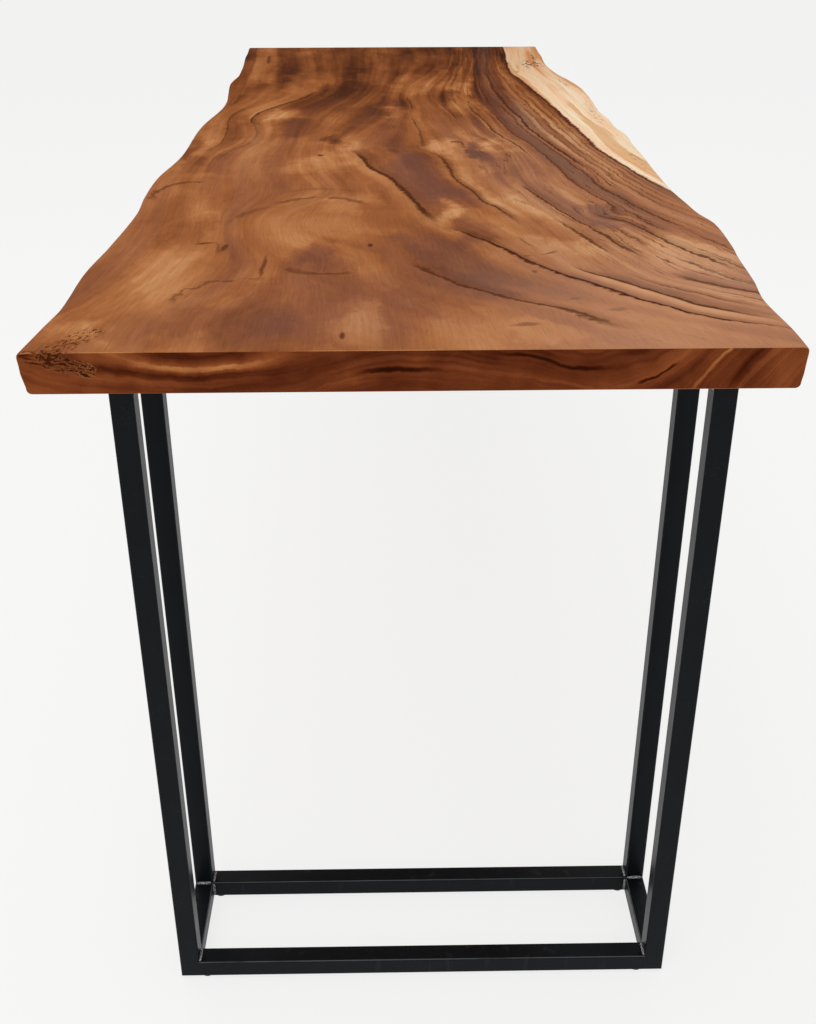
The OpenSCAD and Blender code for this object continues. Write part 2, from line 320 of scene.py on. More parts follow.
# The board starts as a unit block, and every point of it is then set out between the two edges.
columns, rows, layers = 40, 300, 6
board = bmesh.new()
bmesh.ops.create_grid(board, x_segments=columns, y_segments=rows, size=0.5)
sunk = bmesh.ops.extrude_face_region(board, geom=board.faces[:])
underside = [g for g in sunk["geom"] if isinstance(g, bmesh.types.BMVert)]
bmesh.ops.translate(board, verts=underside, vec=(0, 0, -1))
uprights = [e for e in board.edges if abs(e.verts[0].co.z - e.verts[1].co.z) > 0.5]
bmesh.ops.subdivide_edges(board, edges=uprights, cuts=layers - 1, use_grid_fill=True)
long_rims = []
for edge in board.edges:
    a, b = (v.co for v in edge.verts)
    if abs(a.x) > 0.49 and abs(a.x - b.x) < 1e-6 and abs(a.z - b.z) < 1e-6 and a.z in (0, -1):
        long_rims.append(edge)
left_seed, right_seed = 40, 3
for corner in board.verts:
    share = corner.co.y + 0.5
    depth = -corner.co.z * slab_thick
    right = edge_reach(right_edge, right_undercut, share, depth, right_seed)
    left = edge_reach(left_edge, left_undercut, share, depth, left_seed)
    across = corner.co.x + 0.5
    corner.co = (
        right * across - left * (1 - across),
        slab_low.y + share * slab_length,
        slab_top - depth,
    )
bmesh.ops.recalc_face_normals(board, faces=board.faces[:])
round_over(board, long_rims, arris, 5)
end_rims = []
for edge in board.edges:
    sawn = [abs(face.normal.y) > 0.999 for face in edge.link_faces]
    if len(sawn) == 2 and sawn[0] != sawn[1]:
        end_rims.append(edge)
round_over(board, end_rims, end_arris, 3)

# The eight pockets are bored from below, a hair wider than the inserts and deeper than they are long.
insert_radius = 0.006
pocket_play = 0.00005
pocket_radius = insert_radius + pocket_play
pocket_depth = 0.022
pocket_segments = 48
drill = bmesh.new()
legs = ("front", "back")
for leg in legs:
    low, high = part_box(f"{leg}_slab_inserts")
    for x in (low.x + insert_radius, high.x - insert_radius):
        for y in (low.y + insert_radius, high.y - insert_radius):
            bmesh.ops.create_cone(
                drill, cap_ends=True, segments=pocket_segments, radius1=pocket_radius,
                radius2=pocket_radius, depth=2 * pocket_depth,
                matrix=Matrix.Translation((x, y, slab_low.z)),
            )


def cut_out(mesh, tool):
    """The mesh with the tool's solids cut out of it, by a Boolean modifier on a stand-in object."""
    block = stand("mesh", settle(mesh, "mesh"))
    bit = stand("tool", settle(tool, "tool"))
    bore = block.modifiers.new("bore", "BOOLEAN")
    bore.object = bit
    bore.operation = "DIFFERENCE"
    bore.solver = "EXACT"
    result = bmesh.new()
    result.from_object(block, bpy.context.evaluated_depsgraph_get())
    bpy.data.meshes.remove(block.data)
    bpy.data.meshes.remove(bit.data)
    return result


board = cut_out(board, drill)

# Insects and weather had eaten the board's near left corner before it was sawn. The holes are
# real: the faces there are divided finely and pressed in, and each point remembers how deep.
pit_depth = 0.0018
pit_cuts = 15
pit_runs = [  # from, to, reach
    (Vector((-0.372, -1.432, slab_top)), Vector((-0.402, -1.500, slab_top)), 0.022),
    (Vector((-0.428, -1.500, slab_top - 0.002)), Vector((-0.362, -1.500, slab_top - 0.022)), 0.012),
]
crumbs = (  # bites a metre across the run, bites a metre along it, and strength
    (380, 110, 1),
    (800, 420, 0.6),
)


def eaten_away(spot):
    """How far a point lies inside the eaten place, below 0 outside it, and how deep it is bitten."""
    inside, bitten = -math.inf, 0
    for start, stop, reach in pit_runs:
        run = stop - start
        share = min(max((spot - start).dot(run) / run.length_squared, 0), 1)
        within = 1 - (spot - start.lerp(stop, share)).length / reach
        inside = max(inside, within)
        if within > 0:
            bite = run.normalized()
            down_run = bite * (spot - start).dot(bite)
            aside = spot - start - down_run
            crumb = sum(s * noise.noise(aside * a + down_run * b) for a, b, s in crumbs)
            bitten = max(bitten, min(max((crumb - 0.03) / 0.22, 0), 1) * min(within * 2.5, 1))
    return inside, bitten


board.faces.index_update()
coarse = {face.index for face in board.faces if eaten_away(face.calc_center_median())[0] > -0.8}
divided = [edge for edge in board.edges if any(face.index in coarse for face in edge.link_faces)]
bmesh.ops.subdivide_edges(board, edges=divided, cuts=pit_cuts, use_grid_fill=True)
board.normal_update()
pitted = board.verts.layers.float.new("worm_pits")
pressed = []
for vertex in board.verts:
    bitten = eaten_away(vertex.co)[1]
    if bitten > 0:
        vertex[pitted] = bitten
        pressed.append((vertex, vertex.normal * bitten * pit_depth))
for vertex, push in pressed:
    vertex.co -= push
for face in board.faces:
    face.smooth = True

# The figure of the board. Its grain runs along the table, bends round a swirl near the middle of
# the near end, and fans out to the right edge past a dark core line. The ten course lines below
# are grain lines of the board as (along, across) in metres; the finish straightens the pattern
# between them, so that every band, vein and pore follows them.
course_lines = [
    [(-1.5, -0.50), (-1.3, -0.46), (-1.1, -0.432), (-0.9, -0.425), (-0.6, -0.44), (-0.3, -0.42),
     (0, -0.43), (0.3, -0.42), (0.7, -0.44), (1.1, -0.46), (1.5, -0.485)],
    [(-1.5, -0.43), (-1.43, -0.41), (-1.27, -0.335), (-1.1, -0.30), (-0.95, -0.305), (-0.8, -0.33),
     (-0.6, -0.345), (-0.42, -0.352), (-0.35, -0.345), (-0.2, -0.305), (-0.07, -0.307),
     (0.06, -0.333), (0.13, -0.33), (0.193, -0.313), (0.287, -0.273), (0.38, -0.233),
     (0.5, -0.21), (0.8, -0.225), (1.1, -0.245), (1.5, -0.29)],
    [(-1.5, -0.17), (-1.3, -0.15), (-1.1, -0.14), (-0.9, -0.16), (-0.7, -0.15), (-0.5, -0.19),
     (-0.3, -0.2), (0, -0.2), (0.2, -0.17), (0.4, -0.12), (0.6, -0.1), (1, -0.1), (1.5, -0.11)],
    [(-1.5, 0.33), (-1.427, 0.253), (-1.36, 0.2), (-1.32, 0.14), (-1.28, 0.10), (-1.24, 0.06),
     (-1.147, 0.013), (-1.0, -0.02), (-0.85, -0.045), (-0.7, -0.07), (-0.5, -0.11),
     (-0.3, -0.135), (-0.1, -0.12), (0.1, -0.08), (0.3, -0.05), (0.6, -0.02), (1, 0.0), (1.5, -0.01)],
    [(-1.5, 0.56), (-1.427, 0.433), (-1.4, 0.373), (-1.327, 0.30), (-1.253, 0.247), (-1.193, 0.2),
     (-1.12, 0.167), (-1.06, 0.14), (-0.98, 0.095), (-0.9, 0.048), (-0.78, 0.02), (-0.7, 0.007),
     (-0.627, -0.01), (-0.553, -0.033), (-0.5, -0.057), (-0.36, -0.083), (-0.307, -0.1),
     (-0.15, -0.075), (0, -0.035), (0.2, -0.01), (0.5, 0.0), (0.8, 0.04), (1.1, 0.08), (1.5, 0.08)],
    [(-1.5, 0.62), (-1.427, 0.48), (-1.347, 0.36), (-1.3, 0.325), (-1.223, 0.267), (-1.18, 0.233),
     (-1.07, 0.21), (-0.967, 0.187), (-0.887, 0.17), (-0.833, 0.157), (-0.767, 0.133),
     (-0.693, 0.12), (-0.6, 0.097), (-0.5, 0.09), (-0.4, 0.08), (-0.313, 0.053), (-0.133, 0.045),
     (0.067, 0.033), (0.28, 0.033), (0.387, 0.023), (0.6, 0.045), (0.9, 0.11), (1.2, 0.14),
     (1.5, 0.14)],
    [(-1.5, 0.70), (-1.3, 0.447), (-1.26, 0.40), (-1.207, 0.36), (-1.147, 0.34), (-1.087, 0.32),
     (-1.007, 0.3), (-0.873, 0.26), (-0.787, 0.24), (-0.707, 0.223), (-0.653, 0.213), (-0.5, 0.205),
     (-0.35, 0.2), (-0.25, 0.185), (-0.15, 0.155), (0.1, 0.125), (0.3, 0.105), (0.5, 0.11),
     (0.8, 0.15), (1.1, 0.18), (1.5, 0.2)],
    [(-1.5, 0.80), (-1.2, 0.56), (-0.987, 0.46), (-0.767, 0.387), (-0.5, 0.347), (-0.367, 0.327),
     (-0.233, 0.307), (-0.1, 0.293), (0.167, 0.275), (0.367, 0.265), (0.6, 0.26), (0.9, 0.262),
     (1.2, 0.28), (1.5, 0.3)],
    [(-1.5, 0.95), (-1.2, 0.72), (-0.9, 0.54), (-0.72, 0.467), (-0.5, 0.423), (-0.367, 0.405),
     (-0.267, 0.397), (-0.133, 0.393), (0.033, 0.383), (0.2, 0.377), (0.333, 0.367), (0.5, 0.357),
     (0.7, 0.343), (0.813, 0.333), (0.913, 0.332), (1.067, 0.337), (1.233, 0.35), (1.5, 0.363)],
    [(-1.5, 1.1), (-0.9, 0.65), (-0.5, 0.53), (0, 0.49), (0.5, 0.49), (0.9, 0.46), (1.5, 0.48)],
]
# The breadth of the straightened board between one course line and the next.
course_widths = (0.12, 0.13, 0.12, 0.07, 0.09, 0.09, 0.13, 0.09, 0.11)
lean = 0.35  # how far a grain line leans across the board on its way down through it


def open_group(name, takes, gives):
    """A new shader node group, as its recipe and its inputs. Its sockets are named in words."""
    group = bpy.data.node_groups.new(name, "ShaderNodeTree")
    for side, labels in (("INPUT", takes), ("OUTPUT", gives)):
        for label in labels.split():
            kind = "Vector" if label in ("Position", "Centre", "Radii", "Toward") else "Float"
            group.interface.new_socket(label, in_out=side, socket_type="NodeSocket" + kind)
    recipe = Recipe(group)
    return recipe, recipe.put("NodeGroupInput")


def use(recipe, group, *values):
    """Places a group in a recipe, with its inputs in their order."""
    return list(recipe.put("ShaderNodeGroup", dict(enumerate(values)), node_tree=group.tree))


def curve_through(recipe, value, spots):
    """A curve through given spots, read at a value."""
    height = recipe.put("ShaderNodeFloatCurve", {"Value": value})[0]
    mapping = height.node.mapping
    mapping.clip_min_y, mapping.clip_max_y = -1, 2
    curve = mapping.curves[0]
    curve.points[0].location, curve.points[1].location = spots[0], spots[-1]
    for spot in spots[1:-1]:
        curve.points.new(*spot)
    mapping.update()
    return height


course, entry = open_group("grain_course", "Position", "Across Along Depth")
place = course.parts(entry["Position"])
depth = course.minus(slab_top, place["Z"])
from_edge = course.plus(course.scaled(depth, lean, place["X"]), 0.5)
share = course.scaled(place["Y"], 1 / slab_length, 0.5)
lines = []
for points in course_lines:
    spots = [(along / slab_length + 0.5, across + 0.5) for along, across in points]
    lines.append(curve_through(course, share, spots))
total = 0.0
for left, right, width in zip(lines, lines[1:], course_widths):
    part = course.minus(from_edge, left)
    part = course.work("DIVIDE", part, course.minus(right, left))
    part = course.work("MINIMUM", course.larger(part, 0.0), 1.0)
    total = course.scaled(part, width, total)
course.put("NodeGroupOutput", {"Across": total, "Along": place["Y"], "Depth": depth})


def off_centre(recipe, entry):
    """Where a place lies from the centre of an oval, counted in the oval's radii."""
    away = recipe.vectors("SUBTRACT", entry["Position"], entry["Centre"])[0]
    return recipe.vectors("DIVIDE", away, entry["Radii"])[0]


# A swirl lifts the straightened pattern in an oval, so that the grain closes round it.
swirl, entry = open_group("grain_swirl", "Across Position Centre Radii Lift", "Across")
away = off_centre(swirl, entry)
square = swirl.vectors("DOT_PRODUCT", away, away)["Value"]
rest = swirl.larger(swirl.minus(1.0, square), 0.0)
raised = swirl.times(rest, rest, entry["Lift"])
swirl.put("NodeGroupOutput", {0: swirl.plus(raised, entry["Across"])})


def in_turn(recipe, chained, value):
    """The value again, given only after the mark before has been drawn.

    The chained value's own part in it is too small to see. Without it the renderer works out every
    mark before it draws the first one, and has no room to hold them all.
    """
    return recipe.scaled(chained, 1e-7, value)


def tapered_ends(recipe, entry, along):
    """Two values, 0 up to a mark's start and 0 from its stop on, that reach 1 past its taper."""
    start = recipe.smooth(along, entry["Start"], recipe.plus(entry["Start"], entry["Taper"]))
    stop = recipe.smooth(along, entry["Stop"], recipe.minus(entry["Stop"], entry["Taper"]))
    return start, stop


# A vein is one dark line along the grain. It tapers at its two ends and thins where the wood does.
vein, entry = open_group(
    "dark_vein", "Veins Across Along Rag Place Breadth Strength Start Stop Taper", "Veins"
)
side = vein.minus(in_turn(vein, entry["Veins"], entry["Across"]), entry["Place"])
off = vein.work("ABSOLUTE", side)
reach = vein.times(entry["Breadth"], entry["Rag"])
body = vein.smooth(off, reach, vein.times(reach, 0.2))
shadow = vein.smooth(off, vein.times(entry["Breadth"], 4.0), 0.0)
shadow = vein.times(shadow, vein.work("GREATER_THAN", side, 0.0))
body = vein.larger(body, vein.times(shadow, 0.42))
start, stop = tapered_ends(vein, entry, in_turn(vein, entry["Veins"], entry["Along"]))
mark = vein.times(vein.times(body, start), vein.times(stop, entry["Strength"]))
vein.put("NodeGroupOutput", {0: vein.larger(mark, entry["Veins"])})

# An arc is part of an oval dark line, where a hook or a swirl crosses the grain.
arc, entry = open_group(
    "dark_arc", "Veins Position Rag Centre Radii Toward Opening Breadth Strength", "Veins"
)
away = off_centre(arc, entry)
off = arc.gap(arc.vectors("LENGTH", away)["Value"], 1.0)
reach = arc.times(entry["Breadth"], entry["Rag"])
body = arc.smooth(off, reach, arc.times(reach, 0.2))
heading = arc.vectors("NORMALIZE", away)[0]
facing = arc.vectors("DOT_PRODUCT", heading, entry["Toward"])["Value"]
within = arc.smooth(facing, entry["Opening"], arc.plus(entry["Opening"], 0.25))
mark = arc.times(body, within, entry["Strength"])
arc.put("NodeGroupOutput", {0: arc.larger(mark, entry["Veins"])})


def change(recipe, entry, within):
    """Lightens the tone and purples the heart by how far a place lies within a mark."""
    tone = recipe.scaled(within, entry["Lighter"], entry["Tone"])
    heart = recipe.scaled(within, entry["Purpler"], entry["Heart"])
    recipe.put("NodeGroupOutput", {"Tone": tone, "Heart": heart})


# A cloud lightens or darkens an oval of the board, and moves it towards the purple heart colour.
cloud, entry = open_group("tone_cloud", "Tone Heart Position Centre Radii Lighter Purpler", "Tone Heart")
distance = cloud.vectors("LENGTH", off_centre(cloud, entry))["Value"]
change(cloud, entry, cloud.smooth(distance, 1.25, 0.35))

# A stripe lies between two grain lines, crisp at its left side and softer at its right.
stripe, entry = open_group(
    "tone_stripe", "Tone Heart Across Along Left Right Start Stop Taper Lighter Purpler", "Tone Heart"
)
across = in_turn(stripe, entry["Tone"], entry["Across"])
along = in_turn(stripe, entry["Tone"], entry["Along"])
from_left = stripe.smooth(across, entry["Left"], stripe.plus(entry["Left"], 0.006))
fade = stripe.times(stripe.minus(entry["Right"], entry["Left"]), 0.35)
to_right = stripe.smooth(across, entry["Right"], stripe.minus(entry["Right"], fade))
start, stop = tapered_ends(stripe, entry, along)
within = stripe.times(from_left, to_right)
change(stripe, entry, stripe.times(within, stripe.times(start, stop)))

# Where the swirls, clouds, veins and arcs lie. Places along and across are metres from the middle;
# a vein's place is its distance from the left on the straightened board.
swirls = [  # across, along, radius across, radius along, lift
    (-0.150, -0.920, 0.170, 0.260, 0.100),
    (-0.155, -0.377, 0.030, 0.055, 0.014),
    (-0.047, -1.050, 0.030, 0.050, 0.012),
    (-0.079, -1.450, 0.028, 0.050, 0.010),
    (0.313, -0.870, 0.050, 0.080, 0.020),
    (-0.130, -1.180, 0.080, 0.100, 0.025),
    (-0.250, -1.380, 0.110, 0.120, 0.020),
]
clouds = [  # across, along, radius across, radius along, lighter, purpler
    (0.095, -0.740, 0.045, 0.090, -0.08, 0.30),
    (0.070, -0.880, 0.032, 0.070, 0.24, -0.50),
    (0.077, -0.270, 0.030, 0.090, 0.20, -0.40),
    (0.197, -0.280, 0.024, 0.090, 0.16, -0.40),
    (0.147, -0.340, 0.026, 0.080, -0.32, 0.60),
    (-0.110, 0.370, 0.130, 0.260, -0.15, 0.10),
    (-0.080, 0.080, 0.070, 0.200, -0.16, 0.10),
    (-0.330, 0.320, 0.070, 0.200, 0.04, -0.30),
    (-0.265, 0.110, 0.045, 0.070, 0.20, -0.30),
    (-0.225, -0.050, 0.045, 0.130, -0.10, 0.10),
    (-0.125, -0.210, 0.020, 0.070, -0.22, 0.10),
    (-0.085, -0.270, 0.025, 0.070, 0.08, -0.20),
    (-0.160, -0.450, 0.070, 0.110, 0.20, -0.20),
    (-0.380, -0.260, 0.030, 0.120, 0.14, -0.20),
    (-0.140, -0.930, 0.120, 0.180, 0.07, -0.30),
    (-0.115, -0.930, 0.060, 0.100, 0.07, -0.20),
    (-0.170, -1.070, 0.030, 0.100, 0.05, -0.20),
    (-0.130, -1.130, 0.060, 0.085, -0.17, 0.45),
    (-0.060, -1.260, 0.170, 0.090, -0.07, 0.35),
    (-0.060, -1.390, 0.150, 0.100, 0.02, 0.35),
    (-0.220, -1.400, 0.120, 0.110, -0.07, 0.35),
    (-0.173, -1.390, 0.040, 0.060, -0.06, 0.15),
    (0.095, -1.265, 0.050, 0.050, -0.04, 0.25),
    (0.110, -0.985, 0.035, 0.075, -0.10, 0.25),
    (0.313, -0.870, 0.052, 0.070, -0.28, 0.70),
    (0.340, -0.960, 0.050, 0.100, -0.08, 0.40),
    (0.400, -1.130, 0.060, 0.080, 0.22, -0.30),
    (-0.325, -1.190, 0.050, 0.180, 0.05, -0.25),
    (-0.395, -1.435, 0.050, 0.060, 0.19, -0.25),
    (-0.060, -1.420, 0.030, 0.080, 0.12, -0.20),
    (0.150, -1.450, 0.060, 0.040, 0.14, -0.20),
    (0.330, -1.340, 0.130, 0.100, 0.10, -0.25),
    (0.085, 0.640, 0.085, 0.200, 0.27, -0.30),
    (0.170, 0.560, 0.030, 0.200, 0.16, -0.30),
    (0.140, 0.900, 0.022, 0.150, 0.12, -0.10),
    (-0.270, 0.650, 0.035, 0.250, 0.14, -0.20),
    (0.080, 1.380, 0.090, 0.180, -0.14, 0.00),
    (0.300, 1.300, 0.075, 0.280, -0.12, 0.35),
    (0.160, 0.300, 0.050, 0.260, 0.20, -0.10),
    (0.000, 0.500, 0.060, 0.120, 0.15, -0.10),
    (0.000, 0.150, 0.050, 0.090, 0.15, -0.10),
    (0.200, -0.450, 0.100, 0.180, -0.18, 0.10),
    (-0.400, -0.360, 0.050, 0.160, -0.16, 0.00),
    (0.275, 0.700, 0.080, 0.130, 0.16, -0.10),
    (-0.140, -0.120, 0.075, 0.110, -0.13, 0.00),
    (-0.320, -1.000, 0.045, 0.120, -0.16, 0.00),
    (-0.080, -0.760, 0.050, 0.080, 0.16, 0.00),
    (0.240, -1.050, 0.050, 0.070, 0.16, -0.10),
    (0.160, -0.640, 0.040, 0.080, -0.16, 0.10),
    (-0.045, -0.400, 0.040, 0.130, 0.02, -0.70),
    (-0.330, 0.040, 0.045, 0.070, -0.17, 0.10),
    (0.005, -0.350, 0.045, 0.080, 0.14, -0.10),
    (0.400, -0.150, 0.040, 0.120, 0.13, -0.10),
    (-0.330, 1.440, 0.055, 0.070, -0.14, 0.00),
    (0.165, -0.240, 0.028, 0.060, -0.12, 0.10),
    (0.165, -0.400, 0.035, 0.110, -0.13, 0.15),
    (0.000, -1.350, 0.060, 0.070, -0.13, 0.15),
]
stripes = [  # left, right, from, to, taper, lighter, purpler
    (0.440, 0.535, -0.84, -0.22, 0.14, -0.16, 0.65),
    (0.372, 0.425, -1.34, -0.94, 0.10, -0.09, 0.45),
    (0.440, 0.475, -1.46, -1.15, 0.08, -0.16, 0.35),
    (0.530, 0.560, -1.42, -1.18, 0.06, -0.18, 0.40),
    (0.535, 0.600, -0.95, -0.20, 0.12, 0.14, -0.20),
    (0.620, 0.665, -1.00, -0.55, 0.10, -0.16, 0.50),
    (0.620, 0.670, -1.42, -1.17, 0.06, -0.18, 0.40),
    (0.665, 0.720, -1.25, -0.95, 0.08, 0.14, -0.30),
    (0.660, 0.690, -0.60, 0.20, 0.15, 0.10, -0.20),
    (0.700, 0.735, -1.10, 1.20, 0.30, -0.14, 0.40),
    (0.755, 0.775, -0.90, 0.60, 0.20, 0.16, -0.10),
    (0.790, 0.824, -0.90, 1.00, 0.20, 0.14, -0.10),
    (0.828, 0.842, -0.90, 1.48, 0.20, -0.14, 0.15),
    (0.445, 0.520, -0.30, 0.40, 0.10, -0.06, 0.10),
    (0.120, 0.180, 0.05, 0.60, 0.10, -0.14, 0.10),
    (0.040, 0.120, 0.10, 0.60, 0.12, 0.06, -0.20),
    (0.100, 0.150, -0.55, -0.20, 0.08, -0.10, 0.10),
    (0.014, 0.066, 0.55, 1.70, 0.20, 0.25, -0.30),
    (0.478, 0.528, -1.46, -1.16, 0.08, 0.12, -0.20),
    (0.572, 0.618, -1.42, -1.15, 0.08, 0.14, -0.30),
    (0.695, 0.735, -1.36, -1.05, 0.08, 0.14, -0.20),
    (0.098, 0.125, 0.70, 1.70, 0.20, 0.14, -0.10),
]
sap_marks = [  # across, along, radius across, radius along, strength
    (0.408, 1.045, 0.036, 0.090, 1.00),
    (0.350, 0.870, 0.012, 0.045, 0.60),
    (0.432, 1.190, 0.010, 0.090, 0.80),
    (0.452, 0.620, 0.010, 0.090, 0.55),
    (0.385, 0.960, 0.010, 0.060, 0.60),
    (0.385, -0.245, 0.016, 0.022, 0.90),
    (0.455, 0.100, 0.010, 0.180, 0.35),
    (0.452, -0.420, 0.008, 0.110, 0.35),
]
scars = [  # across, along, radius across, radius along
    (0.140, -1.420, 0.020, 0.007),
    (0.263, -1.355, 0.013, 0.006),
    (0.213, -1.310, 0.010, 0.005),
    (-0.290, -1.035, 0.018, 0.005),
    (-0.258, -1.062, 0.005, 0.020),
    (-0.195, -1.150, 0.0035, 0.055),
    (0.385, -0.262, 0.012, 0.005),
]
knots = [  # across, along, radius across, radius along
    (-0.155, -0.377, 0.007, 0.011),
    (-0.047, -1.050, 0.004, 0.010),
    (0.173, -1.193, 0.004, 0.007),
    (-0.079, -1.450, 0.0035, 0.013),
]
veins = [  # place, half width, strength, from, to, taper
    (0.440, 0.0080, 0.95, -0.94, -0.29, 0.10),
    (0.440, 0.0050, 1.00, -1.46, -0.93, 0.06),
    (0.448, 0.0140, 0.45, -1.10, -0.90, 0.08),
    (0.530, 0.0045, 0.85, -0.98, -0.30, 0.15),
    (0.530, 0.0040, 0.65, -0.34, 0.12, 0.10),
    (0.530, 0.0045, 0.90, 0.16, 0.40, 0.06),
    (0.530, 0.0075, 0.90, -1.42, -1.15, 0.06),
    (0.566, 0.0040, 0.60, -1.38, -1.19, 0.07),
    (0.593, 0.0035, 0.50, -1.42, -1.24, 0.07),
    (0.655, 0.0035, 0.60, -1.33, -1.10, 0.06),
    (0.690, 0.0032, 0.60, -1.28, -1.08, 0.06),
    (0.725, 0.0038, 0.60, -1.22, -0.98, 0.06),
    (0.500, 0.0030, 0.60, -1.10, -0.99, 0.04),
    (0.620, 0.0045, 0.85, -1.15, -0.62, 0.08),
    (0.620, 0.0085, 0.80, -1.36, -1.18, 0.06),
    (0.620, 0.0030, 0.70, 0.03, 0.30, 0.06),
    (0.592, 0.0045, 0.80, -1.11, -0.90, 0.04),
    (0.647, 0.0035, 0.70, -1.08, -0.94, 0.04),
    (0.680, 0.0045, 0.85, -1.20, -0.84, 0.06),
    (0.670, 0.0040, 0.85, -0.42, 0.30, 0.10),
    (0.700, 0.0035, 0.75, -0.95, 0.20, 0.15),
    (0.715, 0.0045, 0.80, 0.15, 1.00, 0.15),
    (0.732, 0.0035, 0.80, -1.05, 0.35, 0.15),
    (0.745, 0.0060, 0.95, -0.60, 0.95, 0.20),
    (0.760, 0.0040, 0.60, -0.30, 1.45, 0.20),
    (0.775, 0.0030, 0.60, -0.95, 0.30, 0.20),
    (0.790, 0.0032, 0.62, -0.90, 0.80, 0.20),
    (0.806, 0.0028, 0.55, -0.85, 1.20, 0.20),
    (0.820, 0.0030, 0.60, -0.75, 0.60, 0.20),
    (0.835, 0.0040, 0.90, -0.72, 1.48, 0.10),
    (0.370, 0.0050, 0.80, -1.44, -1.13, 0.05),
    (0.150, 0.0060, 0.55, -1.10, -1.02, 0.03),
    (0.120, 0.0055, 0.90, -0.05, 0.52, 0.10),
    (0.120, 0.0045, 0.45, -0.46, 0.05, 0.10),
    (0.055, 0.0040, 0.70, -0.37, 0.24, 0.08),
    (0.016, 0.0040, 0.60, 0.24, 0.46, 0.06),
    (0.040, 0.0050, 0.75, 1.05, 1.30, 0.06),
    (0.085, 0.0090, 0.35, 0.55, 1.45, 0.20),
    (0.105, 0.0080, 0.35, 0.60, 1.40, 0.20),
]
arcs = [  # across, along, radius across, radius along, toward, opening, half width, strength
    (-0.137, -0.850, 0.085, 0.110, (0.05, 1, 0), 0.45, 0.075, 0.55),
    (-0.150, -0.930, 0.122, 0.150, (-0.85, 0.52, 0), 0.80, 0.050, 0.42),
    (-0.137, -0.850, 0.120, 0.178, (0, 1, 0), 0.75, 0.040, 0.30),
    (-0.357, -0.715, 0.064, 0.110, (-0.75, 0.66, 0), 0.45, 0.075, 0.62),
    (-0.200, -1.310, 0.092, 0.100, (-0.7, 0.71, 0), 0.55, 0.070, 0.50),
    (-0.110, -1.140, 0.055, 0.055, (-0.2, -0.98, 0), 0.50, 0.090, 0.50),
    (0.113, -0.285, 0.018, 0.055, (0.6, 0.8, 0), 0.25, 0.110, 0.65),
    (0.175, -1.085, 0.040, 0.022, (0.4, -0.92, 0), 0.40, 0.120, 0.50),
]


def open_finish(name):
    """A new finish, as its material, its recipe and the place on the piece."""
    finish = bpy.data.materials.new(name)
    finish.use_nodes = True
    recipe = Recipe(finish.node_tree)
    return finish, recipe, recipe.put("ShaderNodeTexCoord")["Object"]


def close_finish(recipe, colour, rough, relief, strength, depth, fixed):
    """Joins a finish to its shader: colour, roughness, a relief so deep, and what is the same all over."""
    bump = recipe.put("ShaderNodeBump", {"Height": relief, "Strength": strength, "Distance": depth})[0]
    shader = recipe.tree.nodes["Principled BSDF"]
    for label, socket in (("Base Color", colour), ("Roughness", rough), ("Normal", bump)):
        recipe.tree.links.new(socket, shader.inputs[label])
    for label, value in fixed.items():
        shader.inputs[label].default_value = value


def drift(recipe, place, scale, detail, rough, reach):
    """A noise as a small move across and along, so far either way."""
    wave = recipe.vectors("SUBTRACT", recipe.noise(place, scale, detail, rough)[1], (0.5, 0.5, 0.5))[0]
    return recipe.vectors("MULTIPLY", wave, reach)[0]


def oval(across, along, wide, long):
    """The centre and the radii of an oval on the board's top, for a group."""
    return (across, along, slab_top), (wide, long, 1)


def ramp(recipe, tone, *stops):
    """A tone from 0 to 1 as a colour, by stops of a tone and the colour seen there."""
    colour = recipe.put("ShaderNodeValToRGB", {"Fac": tone})[0]
    elements = colour.node.color_ramp.elements
    while len(elements) < len(stops):
        elements.new(0.5)
    for element, (spot, seen) in zip(elements, stops):
        element.position = spot
        element.color = shade(*seen)
    return colour


wood, grain, position = open_finish("oiled_face_grain")
# A slow wander of the whole figure, and a small one that roughens the outline of every mark.
spread = grain.vectors("MULTIPLY", position, (1, 0.6, 1))[0]
drawn = grain.vectors("ADD", position, drift(grain, spread, 9, 3, 0.55, (0.014, 0.03, 0)))[0]
across, along, depth = use(grain, course, drawn)
for *spot, lift in swirls:
    (across,) = use(grain, swirl, across, drawn, *oval(*spot), lift)


def stretched(across, along, fine, length, detail, seed):
    """Noise drawn out along the grain: so many marks a metre across it, and so many along it."""
    x = grain.times(across, fine)
    y = grain.scaled(along, length, seed)
    return grain.noise(grain.whole(x, y, grain.times(depth, fine * 0.5)), 1, detail, 0.55)[0]


# Broad bands and fine streaks follow the figure. The fibres run with the trunk, and only partly
# with the figure. The mottle is patches of darker and lighter wood with frayed outlines.
bands = stretched(across, along, 11, 0.8, 3, 3.1)
streaks = stretched(across, along, 60, 1.7, 4, 11.7)
here = grain.parts(drawn)
trunk = grain.scaled(across, 0.35, grain.times(here["X"], 0.65))
fibres = stretched(trunk, along, 330, 9, 2, 5.3)
pores = stretched(trunk, along, 700, 26, 1, 2.9)
rag = grain.scaled(stretched(across, along, 25, 12, 3, 7.7), 1.8, 0.1)
loose = drift(grain, spread, 13, 5, 0.6, (0.15, 0.28, 0))
feathered = grain.vectors("ADD", drawn, loose)[0]
frayed = grain.parts(feathered)
nudged = grain.vectors("MULTIPLY", loose, (0.15, 0.15, 0))[0]
feathered_little = grain.vectors("ADD", drawn, nudged)[0]
mottle = stretched(frayed["X"], frayed["Y"], 8, 3.5, 4, 1.3)
right_side = grain.smooth(across, 0.52, 0.66)
